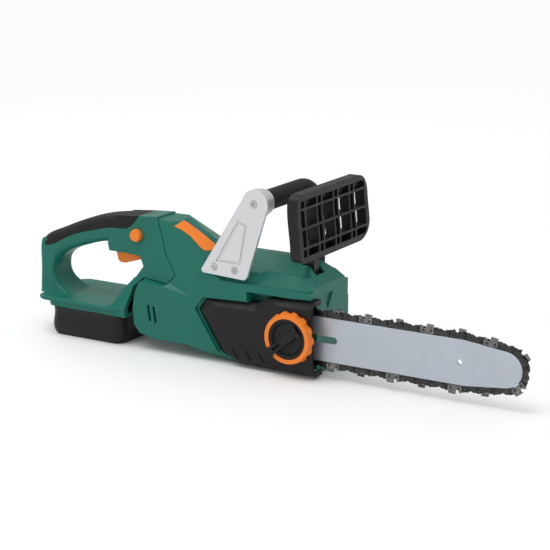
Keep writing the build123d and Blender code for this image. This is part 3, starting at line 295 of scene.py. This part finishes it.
def circuit_board(name, colour):
    """Solder mask over copper tracks, with tinned pads."""
    made = Maker(name, 0.3, coat=0.3)
    tracks = made.node("ShaderNodeTexBrick")
    tracks.inputs["Scale"].default_value = 120.0
    tracks.inputs["Mortar Size"].default_value = 0.03
    tracks.inputs["Color1"].default_value = (*shade(colour, 0.9), 1.0)
    tracks.inputs["Color2"].default_value = (*shade(colour, 1.15), 1.0)
    tracks.inputs["Mortar"].default_value = (*shade(colour, 2.2), 1.0)
    made.join(made.place, tracks.inputs["Vector"])
    made.colour(tracks.outputs["Color"])
    made.bump(tracks.outputs["Fac"], 0.03, 0.6)
    return made.material


def translucent_plastic(name, colour):
    """Milky polyethylene of the oil tank."""
    made = Maker(name, 0.45)
    made.shader.inputs["Subsurface Weight"].default_value = 0.3
    made.shader.inputs["Subsurface Scale"].default_value = 0.004
    made.colour(made.ramp(made.noise(35.0, 4.0), [(0.3, shade(colour, 0.93)), (0.7, shade(colour, 1.04))]))
    made.bump(made.noise(300.0, 3.0), 0.03, 0.4)
    return made.material


GREEN = (0.0085, 0.142, 0.104)
BLACK = (0.0095, 0.0095, 0.0105)
ORANGE = (0.86, 0.215, 0.026)
SILVER = (0.66, 0.67, 0.685)
PALE_STEEL = (0.46, 0.50, 0.55)


def make_finishes():
    """One material for each slot of the record, by the slot's name."""
    return {
        "green_shell": moulded_plastic("green_shell", GREEN, 0.38, spread=0.05),
        "black_shell": moulded_plastic("black_shell", BLACK, 0.46, spread=0.12),
        "soft_grip": rubber("soft_grip", shade(BLACK, 0.9), 0.72),
        "orange_trim": moulded_plastic("orange_trim", ORANGE, 0.36, spread=0.03),
        "silver_casting": cast_metal("silver_casting", SILVER, 0.36),
        "bar_steel": brushed_metal("bar_steel", PALE_STEEL, 0.38, (1.0, 40.0, 40.0),
                                   metallic=0.8, contrast=0.04),
        "chain_steel": oiled_steel("chain_steel", (0.045, 0.044, 0.045), 0.34),
        "cutter_steel": oiled_steel("cutter_steel", (0.17, 0.168, 0.165), 0.28, film=0.2),
        "plain_steel": plated_steel("plain_steel", (0.5, 0.51, 0.52), 0.3),
        "motor_steel": plated_steel("motor_steel", (0.1, 0.1, 0.105), 0.42),
        "copper_winding": wound_copper("copper_winding", (0.62, 0.25, 0.1)),
        "cell_wrap": moulded_plastic("cell_wrap", (0.04, 0.16, 0.32), 0.25, spread=0.04),
        "contact_brass": brushed_metal("contact_brass", (0.7, 0.48, 0.18), 0.28, (1.0, 20.0, 20.0)),
        "board_green": circuit_board("board_green", (0.01, 0.12, 0.05)),
        "tank_plastic": translucent_plastic("tank_plastic", (0.72, 0.72, 0.68)),
    }


def dress_nodes(finishes):
    """Gives every CAD node the finish of its material slot."""
    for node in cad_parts.values():
        slot = node.data.materials[0].name.split(".")[0]
        for index in range(len(node.data.materials)):
            node.data.materials[index] = finishes[slot]


# ---- added pieces ------------------------------------------------------------------------------------
RAY_START = 0.3                   # a height above the whole saw
SEAM_PROBE_Y = 0.2 * MM           # just to the left of the joint plane
SEAM_WIDTH = 0.5 * MM
SEAM_STEP = 1.5 * MM
SEAM_PROUD = 0.04 * MM
SEAM_JUMP = 4.0 * MM              # a larger step than this in the shell's height ends a stretch of seam

LOUVRE_COUNT = 5
LOUVRE_PITCH = 7.0 * MM
LOUVRE_SIZE = (3.2 * MM, 34.0 * MM, 1.2 * MM)      # thickness, length and how far it stands out
LOUVRE_LEAN = 6.0 * MM
LOUVRE_SHIFT = 4.0 * MM            # how far the row's middle lies behind the motor's
LOUVRE_DROP = 13.0 * MM            # how far the louvres' middle lies below the motor's
LOUVRE_SUNK = 0.5 * MM
LOUVRE_BEVEL = 0.4 * MM


def add_piece(name, mesh, body, slot, bevel=0.0):
    """Puts a new mesh in the scene with a slot's finish, riding a body, with its edges rounded if asked."""
    piece = bpy.data.objects.new(name, mesh)
    bpy.context.collection.objects.link(piece)
    mesh.materials.append(finishes[slot])
    if bevel:
        rounding = piece.modifiers.new("rounding", "BEVEL")
        rounding.width = bevel
        rounding.segments = 3
    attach(piece, body)
    return piece


def shell_top(x):
    """The height of the left shells' top beside the joint plane, or None where they have none."""
    best = None
    for name in ("housing_left", "handle_left"):
        start = Vector((x, SEAM_PROBE_Y, RAY_START))
        hit, place, _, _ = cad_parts[name].ray_cast(start, Vector((0, 0, -1)))
        if hit and (best is None or place.z > best):
            best = place.z
    return best


def add_painted_seam_shade():
    """A thin black strip along the top where the two shells of the housing meet: painted shade standing for
    the shadow in the joint's narrow gap.
    """
    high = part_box("housing_left")[1]
    grip_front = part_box("handle_grip")[1].x
    builder = bmesh.new()
    before = None
    for index in range(int((high.x - grip_front) / SEAM_STEP)):
        x = grip_front + (index + 0.5) * SEAM_STEP
        top = shell_top(x)
        if top is None:
            before = None
            continue
        pair = [builder.verts.new((x, side * SEAM_WIDTH / 2, top + SEAM_PROUD)) for side in (-1, 1)]
        if before and abs(before[0].co.z - top) < SEAM_JUMP:
            builder.faces.new((before[0], pair[0], pair[1], before[1]))
        before = pair
    bmesh.ops.delete(builder, geom=[v for v in builder.verts if not v.link_faces], context="VERTS")
    mesh = bpy.data.meshes.new("painted_seam_shade")
    builder.to_mesh(mesh)
    builder.free()
    # black plastic laid over the joint: painted shade of the gap between the two shells
    add_piece("painted_seam_shade", mesh, "saw", "black_shell")


def add_louvres():
    """The slanted cooling louvres on the left side of the housing, over the motor."""
    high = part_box("housing_left")[1]
    motor_low, motor_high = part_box("motor_can")
    thick, length, proud = LOUVRE_SIZE
    centre = (motor_low + motor_high) / 2
    start = centre.x - LOUVRE_SHIFT - (LOUVRE_COUNT - 1) / 2 * LOUVRE_PITCH
    bottom = centre.z - length / 2 - LOUVRE_DROP
    builder = bmesh.new()
    for index in range(LOUVRE_COUNT):
        x = start + index * LOUVRE_PITCH
        outline = [(x, bottom), (x + thick, bottom), (x + thick + LOUVRE_LEAN, bottom + length),
                   (x + LOUVRE_LEAN, bottom + length)]
        inner = [builder.verts.new((px, high.y - LOUVRE_SUNK, pz)) for px, pz in outline]
        outer = [builder.verts.new((px, high.y + proud, pz)) for px, pz in outline]
        builder.faces.new(inner)
        builder.faces.new(list(reversed(outer)))
        for corner in range(4):
            after = (corner + 1) % 4
            builder.faces.new((inner[corner], outer[corner], outer[after], inner[after]))
    bmesh.ops.recalc_face_normals(builder, faces=builder.faces)
    mesh = bpy.data.meshes.new("cooling_louvres")
    builder.to_mesh(mesh)
    builder.free()
    add_piece("cooling_louvres", mesh, "saw", "black_shell", bevel=LOUVRE_BEVEL)


def add_trigger_coil():
    """The trigger spring again, as a piece of its own in place of the hidden CAD node."""
    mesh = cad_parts["trigger_spring"].data.copy()
    mesh.materials.clear()
    coil = add_piece("trigger_coil", mesh, "saw", "plain_steel")
    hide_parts("trigger_spring")
    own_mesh(coil)


finishes = make_finishes()
dress_nodes(finishes)
add_painted_seam_shade()
add_louvres()
add_trigger_coil()

add_camera()
add_studio()
add_floor()
